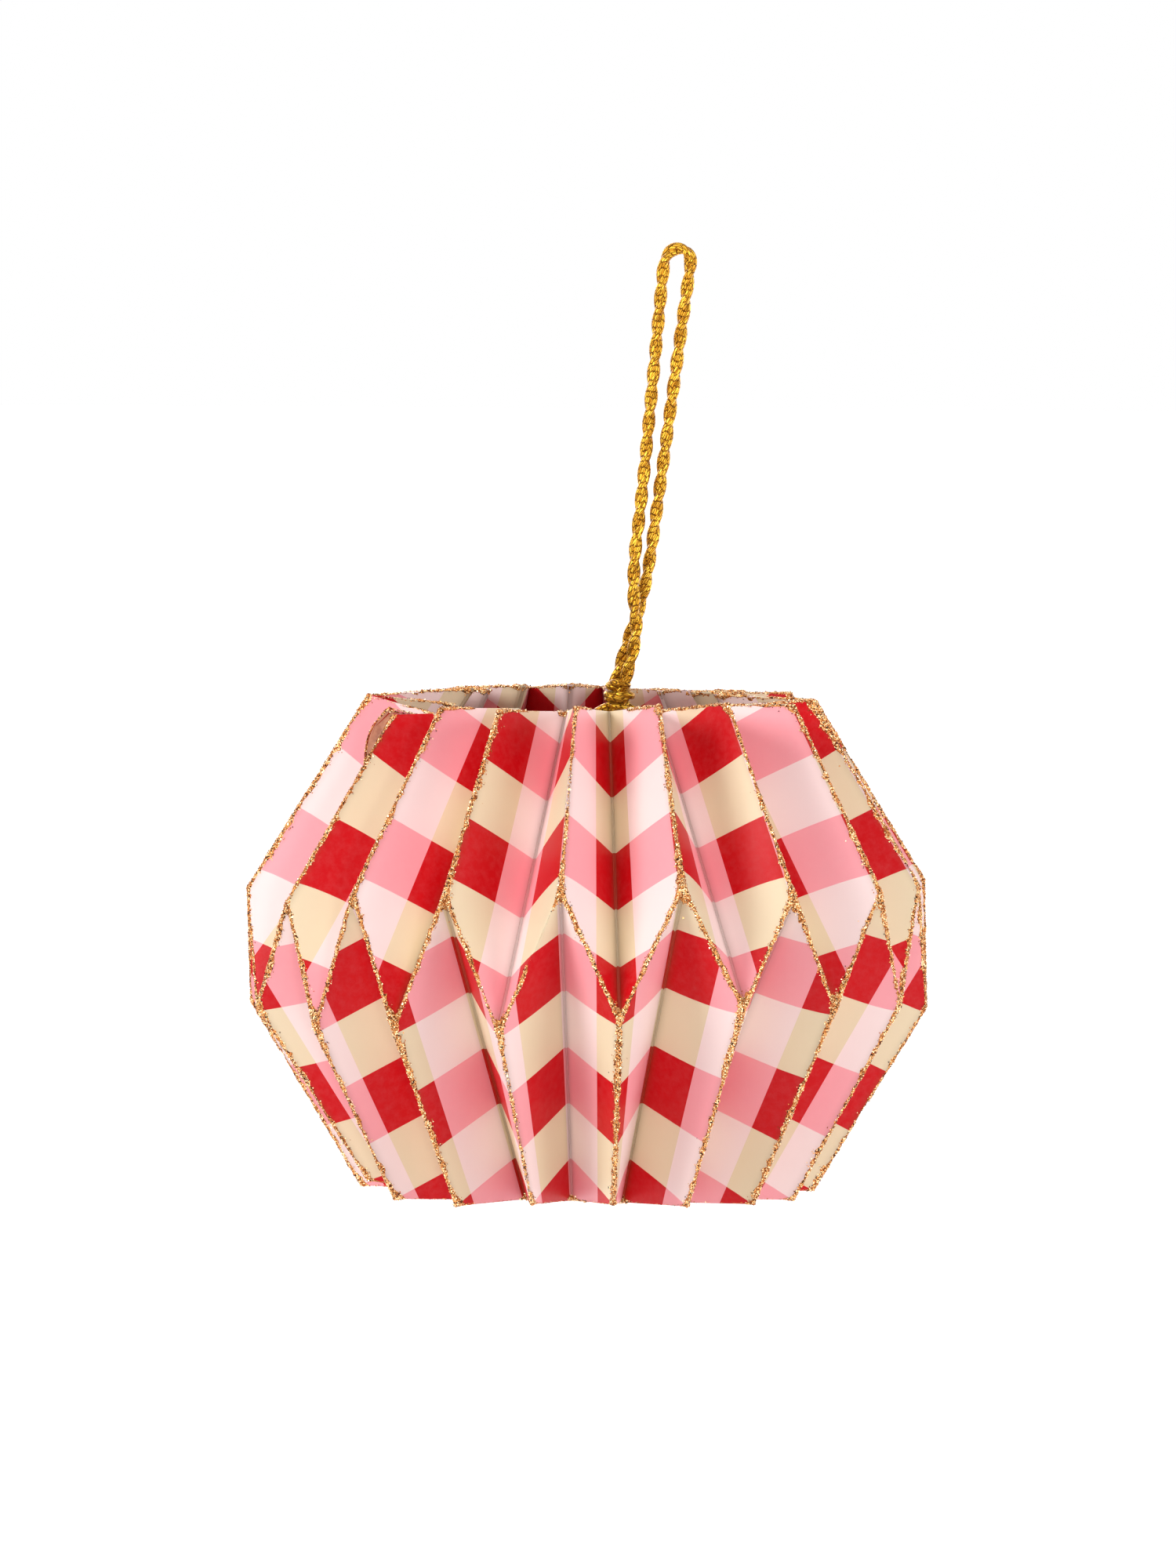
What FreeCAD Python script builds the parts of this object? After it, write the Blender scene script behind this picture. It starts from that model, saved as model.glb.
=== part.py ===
"""Pleated paper ball ornament with glittered folds and a gold hanging cord.

One sheet of printed card is scored and folded into a ring of zigzag pleats, which makes a faceted
ball with an open rim at the top and at the bottom. Glitter lies along every raised fold and both
rims. A gold cord, tied in a knot at the upper rim, makes the loop that the ball hangs from, and
its two tails run through opposite inner folds and end in stopper knots.

Millimetres, +Z up, the origin at the middle of the ball, the front towards -Y.
"""
import FreeCAD, Part
import math
import os

from FreeCAD import Vector

# Folded sheet
PLEATS = 18
FIRST_RIDGE_ANGLE = -3.8        # degrees round from the front to the nearest upper ridge
SHOULDER_RADIUS = 50.0          # to the zigzag fold round the middle
SHOULDER_RISE = 9.25            # the zigzag's peaks above, and its dips below, the middle
RIM_HEIGHT = 36.2               # from the middle to the ridges at either rim
RIM_RIDGE_RADIUS = 33.8
RIM_VALLEY_RADIUS = 19.5
UPPER_VALLEY_HEIGHT = 35.0      # from the middle to the inner corners at either rim
LOWER_VALLEY_HEIGHT = 36.8
UPPER_FOLD_LEAN = 3.0           # degrees that the inner corners sit off mid-pleat
LOWER_FOLD_LEAN = -2.0
PAPER_THICKNESS = 0.4
PANEL_FACETS = 4                # flat steps along a panel, which is slightly twisted

# Glitter dried in glue on the raised folds and on the rims
GLITTER_REACH = 0.8             # from the fold, measured across each panel
GLITTER_HEIGHT = 0.3

# Cord, knots and the holes that the tails pass through
CORD_DIAMETER = 1.9
KNOT_CENTRE = Vector(4.3, 0.0, 36.4)
KNOT_DIAMETER = 5.1
KNOT_NECK_DIAMETER = 4.1
KNOT_HEIGHT = 4.8
KNOT_WRAPS = 2
END_KNOT_DIAMETER = 3.5
END_KNOT_LENGTH = 3.2
END_KNOT_CLEARANCE = 0.2
CORD_END_LENGTH = 3.0
FOLD_HOLE_SETBACK = 5.5         # along the inner fold, from the rim
FOLD_HOLE_CLEARANCE = 0.2

# Route of the loop, from the knot up one leg, round the top and down the other
LOOP_ROUTE = [
    (5.25, -0.45, 37.0),
    (7.0, -0.9, 44.8),
    (6.65, -1.15, 50.5),
    (6.8, -0.4, 57.4),
    (10.3, 0.0, 97.0),
    (10.75, 0.0, 101.3),
    (12.75, 0.0, 102.4),
    (14.75, 0.0, 101.3),
    (14.1, 0.0, 97.0),
    (8.9, 0.5, 57.2),
    (7.25, 1.15, 50.4),
    (5.6, 0.9, 44.7),
    (3.25, 0.45, 37.0),
]
TAIL_START_SIDE = 0.3           # from the knot's axis, on the side away from the tail's hole
TAIL_BEND_SIDE = 1.5            # from the knot's axis to the bend under the knot
TAIL_BEND_DROP = 5.2            # below the knot's centre

PITCH = 360.0 / PLEATS


def at(radius, degrees, height):
    """Point on a circle round the ball's axis, with the angle counted from the front."""
    turn = math.radians(FIRST_RIDGE_ANGLE + degrees)
    return Vector(radius * math.sin(turn), -radius * math.cos(turn), height)


def outward(point):
    """Unit vector away from the ball's axis at a point."""
    return Vector(point.x, point.y, 0).normalize()


# Corners of the folded sheet, and the panels between them


def sheet_corners():
    """Outer corners of all pleats, by kind and pleat number."""
    corners = {}
    for i in range(PLEATS):
        on_ridge = i * PITCH
        between = on_ridge + PITCH / 2
        corners["top_ridge", i] = at(RIM_RIDGE_RADIUS, on_ridge, RIM_HEIGHT)
        leaning = between + UPPER_FOLD_LEAN
        corners["top_valley", i] = at(RIM_VALLEY_RADIUS, leaning, UPPER_VALLEY_HEIGHT)
        corners["peak", i] = at(SHOULDER_RADIUS, on_ridge, SHOULDER_RISE)
        corners["dip", i] = at(SHOULDER_RADIUS, between, -SHOULDER_RISE)
        corners["foot_ridge", i] = at(RIM_RIDGE_RADIUS, between, -RIM_HEIGHT)
        leaning = on_ridge + LOWER_FOLD_LEAN
        corners["foot_valley", i] = at(RIM_VALLEY_RADIUS, leaning, -LOWER_VALLEY_HEIGHT)
    return corners


def sheet_panels():
    """Each panel's four corners: rim ridge, shoulder ridge, shoulder valley, rim valley."""
    panels = []
    for i in range(PLEATS):
        after = (i + 1) % PLEATS
        for peak in (i, after):
            panels.append((("top_ridge", peak), ("peak", peak), ("dip", i), ("top_valley", i)))
            panels.append((("foot_ridge", i), ("dip", i), ("peak", peak), ("foot_valley", peak)))
    return panels


def corner_normal(points, k):
    """Outward unit normal of a panel at its corner k."""
    here = points[k]
    normal = (points[k - 1] - here).cross(points[(k + 1) % 4] - here).normalize()
    middle = (points[0] + points[1] + points[2] + points[3]) * 0.25
    return normal if normal.dot(outward(middle)) > 0 else -normal


def solve(rows, wanted):
    """The vector whose products with the rows come closest to the wanted numbers."""
    def weigh(values):
        return sum((row * value for row, value in zip(rows, values)), Vector())

    a, b, c = (weigh([row[axis] for row in rows]) for axis in range(3))
    right = weigh(wanted)
    mixed = b.cross(c) * right.x + c.cross(a) * right.y + a.cross(b) * right.z
    return mixed * (1 / a.dot(b.cross(c)))


def mitres(corners, panels):
    """For each corner, the step that moves every panel meeting there out by one millimetre."""
    normals = {key: [] for key in corners}
    folds = {}
    for panel in panels:
        points = [corners[key] for key in panel]
        for k, key in enumerate(panel):
            normals[key].append(corner_normal(points, k))
        folds[panel[0]] = (points[1] - points[0]).normalize()
        folds[panel[3]] = (points[2] - points[3]).normalize()
    steps = {}
    for key, rows in normals.items():
        square_cut = [folds[key]] if key in folds else []
        steps[key] = solve(rows + square_cut, [1.0] * len(rows) + [0.0] * len(square_cut))
    return steps


def facets(left, right):
    """Flat triangles that join two rows of points, step by step."""
    faces = []
    for a, b, c, d in zip(left, left[1:], right[1:], right):
        faces.append(Part.Face(Part.makePolygon([a, b, c, a])))
        faces.append(Part.Face(Part.makePolygon([a, c, d, a])))
    return faces


def stepped(start, end):
    """Points along an edge of a panel, one for each flat step."""
    return [start + (end - start) * (i / PANEL_FACETS) for i in range(PANEL_FACETS + 1)]


def glitter_bounds(corners):
    """Inner corners of a panel's glitter: off the ridge at either end, and on the valley."""
    rim_ridge, ridge, valley, rim_valley = corners
    down = GLITTER_REACH / (ridge - rim_ridge).Length
    across = GLITTER_REACH / (valley - ridge).Length

    def on_panel(down, across):
        upper = rim_ridge + (rim_valley - rim_ridge) * across
        lower = ridge + (valley - ridge) * across
        return upper + (lower - upper) * down

    return [on_panel(down, across), on_panel(1 - down, across), on_panel(1 - down, 1), on_panel(down, 1)]


def closed_solid(faces):
    """Solid from faces that close on each other along their edges."""
    solid = Part.Solid(Part.Shell(faces))
    if solid.Volume < 0:
        solid.reverse()
    return solid


def glittered_border(corners, bounds):
    """Facets along a panel's ridge, zigzag fold and rim, in to the glitter's inner bounds."""
    rim_ridge, ridge, valley, rim_valley = corners
    by_rim, by_zigzag, zigzag_end, rim_end = bounds
    border = facets([rim_ridge, ridge, valley], [by_rim, by_zigzag, zigzag_end])
    return border + facets([rim_ridge, rim_valley], [by_rim, rim_end])


def folded_sheet(corners, panels, steps):
    """The whole sheet: an outer and an inner skin a paper thickness apart, and the cut rims."""
    inner = {key: corners[key] - steps[key] * PAPER_THICKNESS for key in corners}
    faces = []
    for panel in panels:
        outer_corners = [corners[key] for key in panel]
        bounds = glitter_bounds(outer_corners)
        faces += glittered_border(outer_corners, bounds)
        faces += facets(stepped(bounds[0], bounds[1]), stepped(bounds[3], bounds[2]))
        rim_ridge, ridge, valley, rim_valley = [inner[key] for key in panel]
        faces += facets(stepped(rim_ridge, ridge), stepped(rim_valley, valley))
        faces += facets([outer_corners[0], outer_corners[3]], [rim_ridge, rim_valley])
    return closed_solid(faces)


def glitter_lines(corners, panels, steps):
    """Feathered bead that lies on each panel along its ridge, zigzag fold and rim."""
    crest = {key: corners[key] + steps[key] * GLITTER_HEIGHT for key in corners}
    faces = []
    for panel in panels:
        base, top = [[side[key] for key in panel] for side in (corners, crest)]
        bounds = glitter_bounds(base)
        faces += glittered_border(base, bounds)
        faces += glittered_border(top, bounds)
        faces += facets([base[0], base[3]], [top[0], top[3]])
    return closed_solid(faces)


# Cord


def cord_tube(name, route):
    """Round tube of the cord's diameter along straight runs joined by tangent arcs."""
    points = [Vector(*point) for point in route]
    edges, radii, start = [], [], points[0]
    for before, corner, after in zip(points, points[1:], points[2:]):
        back, on = (before - corner), (after - corner)
        half_turn = (math.pi - back.getAngle(on)) / 2
        reach = 0.45 * min(back.Length, on.Length)
        radii.append(reach / math.tan(half_turn))
        back.normalize()
        on.normalize()
        arc_start, arc_end = corner + back * reach, corner + on * reach
        to_centre = (back + on).normalize()
        crown = corner + to_centre * (radii[-1] * (1 / math.cos(half_turn) - 1))
        edges.append(Part.LineSegment(start, arc_start).toShape())
        edges.append(Part.Arc(arc_start, crown, arc_end).toShape())
        start = arc_end
    edges.append(Part.LineSegment(start, points[-1]).toShape())
    path = Part.Wire(edges)
    circle = Part.makeCircle(CORD_DIAMETER / 2, points[0], points[1] - points[0])
    tube = path.makePipeShell([Part.Wire(circle)], True, True)
    section = math.pi * CORD_DIAMETER ** 2 / 4
    print(f"{name}: length {path.Length:.1f} mm, radii {min(radii):.1f} to {max(radii):.1f} mm,"
          f" volume {tube.Volume:.1f} against {section * path.Length:.1f} mm3")
    return tube


def turned(profile, centre, axis):
    """Solid turned about an axis from (radius, place along the axis) points."""
    points = [Vector(radius, 0, along) for radius, along in profile]
    face = Part.Face(Part.makePolygon(points + points[:1]))
    solid = face.revolve(Vector(), Vector(0, 0, 1), 360)
    solid.Placement = FreeCAD.Placement(centre, FreeCAD.Rotation(Vector(0, 0, 1), axis))
    return solid


def tied_knot():
    """The knot at the rim: wraps of the doubled cord round its neck."""
    neck, wrap = KNOT_NECK_DIAMETER / 2, KNOT_HEIGHT / KNOT_WRAPS
    profile = [(0, -KNOT_HEIGHT / 2)]
    for i in range(KNOT_WRAPS):
        low = -KNOT_HEIGHT / 2 + i * wrap
        profile += [(neck, low), (KNOT_DIAMETER / 2, low + wrap * 0.3)]
        profile += [(KNOT_DIAMETER / 2, low + wrap * 0.7)]
    profile += [(neck, KNOT_HEIGHT / 2), (0, KNOT_HEIGHT / 2)]
    return turned(profile, KNOT_CENTRE, Vector(0, 0, 1))


def beyond_knot(tube, side):
    """The part of a tube above (side 1) or below (side -1) the tied knot's flat end."""
    reach = 2 * (RIM_HEIGHT + RIM_VALLEY_RADIUS)
    base = KNOT_CENTRE + Vector(-reach, -reach, side * KNOT_HEIGHT / 2)
    inside = Part.makeBox(2 * reach, 2 * reach, reach, base)
    if side > 0:
        inside.translate(Vector(0, 0, -reach))
    return tube.cut(inside)


class FoldHole:
    """Hole through one upper inner fold, with the stopper knot that sits outside it."""

    def __init__(self, corners, steps, pleat):
        rim, dip = corners["top_valley", pleat], corners["dip", pleat]
        self.centre = rim + (dip - rim).normalize() * FOLD_HOLE_SETBACK
        self.side = math.copysign(1.0, self.centre.x)
        self.bend = KNOT_CENTRE + Vector(self.side * TAIL_BEND_SIDE, 0, -TAIL_BEND_DROP)
        self.way_out = (self.centre - self.bend).normalize()
        groove = [corners["top_ridge", pleat], corners["peak", pleat], dip, rim]
        wall = corner_normal(groove, 3)
        seat = (END_KNOT_DIAMETER / 2 + END_KNOT_CLEARANCE) / wall.dot(self.way_out)
        self.knot_centre = self.centre + self.way_out * seat
        self.reach = seat

    def cut(self, sheet):
        """The sheet with this hole in it."""
        radius = CORD_DIAMETER / 2 + FOLD_HOLE_CLEARANCE
        start = self.centre - self.way_out * self.reach
        return sheet.cut(Part.makeCylinder(radius, 2 * self.reach, start, self.way_out))

    def end_knot(self):
        """The stopper knot, with the cord's cut end standing out of it."""
        half, cord, wide = END_KNOT_LENGTH / 2, CORD_DIAMETER / 2, END_KNOT_DIAMETER / 2
        cut_end = half + CORD_END_LENGTH
        profile = [(0, -half), (wide, -half), (wide, half), (cord, half), (cord, cut_end), (0, cut_end)]
        return turned(profile, self.knot_centre, self.way_out)

    def tail_route(self):
        """From inside the tied knot, under it, through the hole and into the stopper knot."""
        start = KNOT_CENTRE - Vector(self.side * TAIL_START_SIDE, 0, 0)
        return [start, self.bend, self.knot_centre]


def main():
    corners, panels = sheet_corners(), sheet_panels()
    steps = mitres(corners, panels)

    quarter_turn = round(PLEATS / 4 - 0.5)
    holes = {
        "right": FoldHole(corners, steps, quarter_turn),
        "left": FoldHole(corners, steps, (quarter_turn + PLEATS // 2) % PLEATS),
    }
    sheet = folded_sheet(corners, panels, steps)
    nodes = {
        "glitter_edging": glitter_lines(corners, panels, steps),
        "cord_knot": tied_knot(),
        "hanging_loop": beyond_knot(cord_tube("hanging_loop", LOOP_ROUTE), 1),
    }
    for side, hole in holes.items():
        sheet = hole.cut(sheet)
        end_knot = hole.end_knot()
        tail = beyond_knot(cord_tube(f"cord_tail_{side}", hole.tail_route()), -1)
        nodes[f"cord_tail_{side}"] = tail.cut(end_knot)
        nodes[f"end_knot_{side}"] = end_knot
    nodes["folded_paper_shell"] = sheet

    os.makedirs("parts", exist_ok=True)
    for name, shape in nodes.items():
        print(f"{name}: {len(shape.Solids)} solid, {shape.Volume:.1f} mm3, valid {shape.isValid()}")
        shape.exportStep(f"parts/{name}.step")


main()
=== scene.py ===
"""Looks of a pleated paper ball ornament: gingham card, glittered folds and a gold cord."""
import logging
import math
from dataclasses import dataclass, field
from enum import Enum

import bpy
import numpy as np
from mathutils import Matrix, Vector

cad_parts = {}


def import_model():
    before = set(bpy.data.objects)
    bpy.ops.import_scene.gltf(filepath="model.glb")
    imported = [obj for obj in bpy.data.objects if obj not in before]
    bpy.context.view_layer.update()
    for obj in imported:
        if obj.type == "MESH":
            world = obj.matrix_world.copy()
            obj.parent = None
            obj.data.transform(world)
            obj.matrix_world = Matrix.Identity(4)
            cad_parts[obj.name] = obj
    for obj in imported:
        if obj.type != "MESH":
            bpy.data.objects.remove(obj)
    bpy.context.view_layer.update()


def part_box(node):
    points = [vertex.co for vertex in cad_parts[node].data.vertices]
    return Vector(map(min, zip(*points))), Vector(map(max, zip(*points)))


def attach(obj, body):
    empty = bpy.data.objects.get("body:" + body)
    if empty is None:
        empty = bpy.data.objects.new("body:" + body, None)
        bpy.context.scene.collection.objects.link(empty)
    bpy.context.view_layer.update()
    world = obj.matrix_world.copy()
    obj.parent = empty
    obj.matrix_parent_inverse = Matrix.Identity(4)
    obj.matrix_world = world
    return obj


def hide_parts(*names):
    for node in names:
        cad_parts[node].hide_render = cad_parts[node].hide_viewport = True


MM = 0.001
LOG = logging.getLogger("paper_ball")

Colour = tuple[float, float, float]
Array = np.ndarray
Piece = bpy.types.Object


def srgb(red: int, green: int, blue: int) -> Colour:
    """Linear colour of a display colour given in steps of 0 to 255."""
    return tuple(((c / 255 + 0.055) / 1.055) ** 2.4 for c in (red, green, blue))


class Channel:
    """A shader output that adds its own Math nodes when it is used in arithmetic."""

    def __init__(self, tree: "ShaderTree", socket: bpy.types.NodeSocket) -> None:
        """Wrap one output socket of a shader tree."""
        self.tree = tree
        self.socket = socket

    def math(self, operation: str, *others: "Channel | float", clamp: bool = False) -> "Channel":
        """One Math node with this channel as its first value.

        Args:
            operation: Blender's name of the operation.
            others: the remaining values.
            clamp: whether the result is held between 0 and 1.

        Returns:
            The result's channel.
        """
        values = dict(enumerate((self, *others)))
        settings = {"operation": operation, "use_clamp": clamp}
        node = self.tree.node("Math", settings, values)
        return Channel(self.tree, node.outputs[0])

    def __add__(self, other: "Channel | float") -> "Channel":
        """Sum."""
        return self.math("ADD", other)

    __radd__ = __add__

    def __mul__(self, other: "Channel | float") -> "Channel":
        """Product."""
        return self.math("MULTIPLY", other)

    __rmul__ = __mul__

    def __sub__(self, other: "Channel | float") -> "Channel":
        """Difference."""
        return self.math("SUBTRACT", other)

    def __rsub__(self, other: float) -> "Channel":
        """Difference from a number."""
        return self * -1.0 + other

    def __truediv__(self, other: float) -> "Channel":
        """Quotient by a number."""
        return self * (1.0 / other)

    def held(self) -> "Channel":
        """The value held between 0 and 1."""
        return self.math("ADD", 0.0, clamp=True)

    def sine(self) -> "Channel":
        """Sine of the value in radians."""
        return self.math("SINE")

    def size(self) -> "Channel":
        """The value without its sign."""
        return self.math("ABSOLUTE")


class ShaderTree:
    """One shader tree, with the one method that makes its nodes."""

    def __init__(self, owner: bpy.types.Material | bpy.types.World) -> None:
        """Start the tree of a material or world afresh."""
        self.owner = owner
        owner.use_nodes = True
        owner.node_tree.nodes.clear()

    def node(self, kind: str, settings: dict | None = None,
             sockets: dict | None = None) -> bpy.types.Node:
        """Add a node.

        Args:
            kind: the node's type, without ShaderNode before it.
            settings: its properties, set first.
            sockets: values or links for its inputs, by name or number.

        Returns:
            The node.
        """
        node = self.owner.node_tree.nodes.new(f"ShaderNode{kind}")
        for key, setting in (settings or {}).items():
            if key == "stops":
                self.set_stops(node.color_ramp, setting)
            else:
                setattr(node, key, setting)
        self.fill(node, sockets or {})
        return node

    def fill(self, node: bpy.types.Node, sockets: dict) -> None:
        """Give a node's inputs their values or links."""
        for key, value in sockets.items():
            value = value.socket if isinstance(value, Channel) else value
            if isinstance(value, bpy.types.NodeSocket):
                self.owner.node_tree.links.new(value, node.inputs[key])
            else:
                node.inputs[key].default_value = value

    @staticmethod
    def set_stops(ramp: bpy.types.ColorRamp, stops: list[tuple[float, Colour]]) -> None:
        """Give a colour ramp its stops, in order."""
        while len(ramp.elements) < len(stops):
            ramp.elements.new(1.0)
        for element, (place, colour) in zip(ramp.elements, stops):
            element.position = place
            element.color = (*colour, 1.0)

    def channel(self, node: bpy.types.Node, output: str | int = 0) -> Channel:
        """Channel of one of a node's outputs."""
        return Channel(self, node.outputs[output])

    def mixed(self, factor: Channel | float, first: object, second: object) -> bpy.types.NodeSocket:
        """Colour mixed from two colours, each a link or three numbers."""
        first, second = ((*c, 1.0) if isinstance(c, tuple) else c for c in (first, second))
        node = self.node("Mix", {"data_type": "RGBA"}, {0: factor, 6: first, 7: second})
        return node.outputs[2]

    def noise(self, scale: float, **more: float) -> Channel:
        """Noise that stays with the object, with more of the node's inputs by name."""
        where = self.node("TexCoord").outputs["Object"]
        return self.channel(self.node("TexNoise", {}, {
            "Vector": where, "Scale": scale, **more}))

    def relief(self, strength: float, distance: float, height: Channel) -> bpy.types.NodeSocket:
        """Normals of a bump map."""
        return self.node("Bump", {}, {
            "Strength": strength, "Distance": distance, "Height": height}).outputs[0]

    def seen_directly(self) -> Channel:
        """1 for camera, glossy and transmission rays."""
        path = self.node("LightPath")
        camera, glossy, through = (
            self.channel(path, f"Is {kind} Ray") for kind in ("Camera", "Glossy", "Transmission"))
        return camera.math("MAXIMUM", glossy).math("MAXIMUM", through)


class Surface(ShaderTree):
    """The tree of a material with one Principled surface."""

    def __init__(self, name: str) -> None:
        """Start a material of this name."""
        super().__init__(bpy.data.materials.new(name))
        self.shader = self.node("BsdfPrincipled")
        self.node("OutputMaterial", {}, {"Surface": self.shader.outputs[0]})

    def finish(self, **inputs: object) -> bpy.types.Material:
        """Set the surface's sockets, with _ for a space, and give the material."""
        self.fill(self.shader, {key.replace("_", " "): value for key, value in inputs.items()})
        return self.owner


@dataclass(frozen=True)
class GinghamCard:
    """Coated card with a four-colour check, scored along its folds, with shade painted into its
    colour near the folds.

    The sheet's UV map holds panels across and metres down.
    """

    red: Colour = srgb(206, 4, 18)
    cream: Colour = srgb(240, 220, 186)
    pink: Colour = srgb(254, 168, 176)
    pale_pink: Colour = srgb(254, 229, 226)
    check_width: float = 2 / 3
    check_start: float = -0.06
    check_height: float = 10.3 * MM
    check_rise: float = 2.8 * MM
    panel_width: float = 18.0 * MM
    score_offset: float = 0.36 * MM
    score_width: float = 0.28 * MM
    groove_width: float = 2.6 * MM
    # Painted shade at the folds: its brown, and how strongly it darkens the score lines and the
    # grooves.
    fold_shade_colour: Colour = srgb(122, 82, 46)
    score_shade: float = 0.13
    groove_shade: float = 0.42
    wear: float = 0.05
    column_edge: float = 60.0
    row_edge: float = 50.0

    def material(self) -> bpy.types.Material:
        """The card's material."""
        tree = Surface("gingham_card")
        place = tree.node("UVMap", {"uv_map": "sheet"})
        apart = tree.node("SeparateXYZ", {}, {0: place.outputs[0]})
        across, down = tree.channel(apart, 0), tree.channel(apart, 1)

        turn_across = (across - self.check_start) * (math.pi / self.check_width)
        turn_down = (down - self.check_rise) * (math.pi / self.check_height)
        in_red_column = (0.5 - turn_across.sine() * self.column_edge).held()
        in_red_row = (turn_down.sine() * self.row_edge + 0.5).held()
        pinks = tree.mixed(in_red_row, self.pale_pink, self.pink)
        reds = tree.mixed(in_red_row, self.cream, self.red)
        print_colour = tree.mixed(in_red_column, pinks, reds)

        grain = tree.noise(900.0, Detail=4.0, Roughness=0.65)
        worn = (grain * 1.6 - 0.62).held() * self.wear
        mottled = tree.mixed(worn, print_colour, self.pale_pink)

        nearest = across.math("ROUND")
        sway = (tree.noise(190.0) - 0.5) * self.score_width
        from_fold = ((across - nearest) * self.panel_width + sway).size()
        off_score = (from_fold - self.score_offset).size() / self.score_width
        scores = (1.0 - off_score * off_score).held()
        shaded = (1.0 - from_fold / self.groove_width).held()
        # Painted shade: the card's colour turns towards brown in the score lines and within a few
        # millimetres of every fold, where shade falls in the grooves.
        fold_shade_mask = scores * self.score_shade + shaded * shaded * self.groove_shade
        fold_shaded_colour = tree.mixed(fold_shade_mask, mottled, self.fold_shade_colour)

        relief = tree.relief(0.5, 0.12 * MM, grain * 0.12 - scores)
        return tree.finish(Base_Color=fold_shaded_colour, Roughness=grain * 0.16 + 0.36, Normal=relief,
                           Specular_IOR_Level=0.16, Coat_Weight=0.03, Coat_Roughness=0.2)


@dataclass(frozen=True)
class DriedGlue:
    """Brown glue that dried in the open part of the seam."""

    colour: Colour = srgb(204, 138, 108)
    thick_colour: Colour = srgb(150, 84, 58)

    def material(self) -> bpy.types.Material:
        """The glue's material."""
        tree = Surface("dried_glue")
        cloud = tree.noise(700.0)
        tone = tree.mixed((cloud * 2.0 - 0.5).held(), self.colour, self.thick_colour)
        return tree.finish(Base_Color=tone, Roughness=cloud * 0.3 + 0.25,
                           Normal=tree.relief(0.6, 0.1 * MM, cloud))


@dataclass(frozen=True)
class CardEdge:
    """Cut edge of the card, where its pale core shows."""

    core: Colour = srgb(240, 224, 205)
    fibre: Colour = srgb(214, 176, 150)

    def material(self) -> bpy.types.Material:
        """The cut edge's material."""
        tree = Surface("card_edge")
        worn = tree.mixed(tree.noise(2500.0), self.core, self.fibre)
        return tree.finish(Base_Color=worn, Roughness=0.8)


@dataclass(frozen=True)
class GoldGlitter:
    """Copper-gold glitter in clear glue: fine grains, with painted glints on some and painted shade
    on others.
    """

    # Painted shade for grains turned away from the light.
    painted_shade: Colour = srgb(56, 24, 10)
    copper: Colour = srgb(172, 98, 46)
    gold: Colour = srgb(226, 160, 92)
    # Painted glint for grains turned towards the light.
    painted_glint: Colour = srgb(255, 228, 176)
    grain_size: float = 0.19 * MM

    def stops(self) -> list[tuple[float, Colour]]:
        """Colours by a random draw for each grain's angle to the light, from painted shade through
        copper and gold tones to a painted glint.
        """
        return [(0.0, self.painted_shade), (0.12, self.copper), (0.4, self.gold), (0.73, self.painted_glint)]

    def bead(self) -> bpy.types.Material:
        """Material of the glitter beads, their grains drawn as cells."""
        tree = Surface("glitter_bead")
        cells = tree.node("TexVoronoi", {}, {
            "Vector": tree.node("TexCoord").outputs["Object"],
            "Scale": 1 / self.grain_size,
        })
        chance = tree.node("SeparateColor", {}, {0: cells.outputs["Color"]})
        # Each grain's random draw picks its colour from painted shade up to a painted glint.
        ramp = tree.node("ValToRGB", {"stops": self.stops()}, {0: chance.outputs[0]})
        ramp.color_ramp.interpolation = "CONSTANT"
        facet = tree.channel(cells, "Distance") + tree.channel(chance, 1) * 1.4
        relief = tree.relief(0.9, 0.14 * MM, facet)
        return tree.finish(Base_Color=ramp.outputs[0], Metallic=0.75, Normal=relief,
                           Roughness=tree.channel(chance, 2) * 0.3 + 0.22)

    def flake(self) -> bpy.types.Material:
        """Material of the loose flakes, each of one colour."""
        tree = Surface("glitter_flake")
        glint_level = tree.node("Attribute", {"attribute_name": "glint_level"})
        # Each flake's random draw picks its colour from painted shade up to a painted glint.
        ramp = tree.node("ValToRGB", {"stops": self.stops()}, {0: glint_level.outputs["Fac"]})
        ramp.color_ramp.interpolation = "CONSTANT"
        return tree.finish(Base_Color=ramp.outputs[0], Metallic=0.8,
                           Roughness=tree.channel(glint_level, "Fac") * -0.12 + 0.34)


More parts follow.
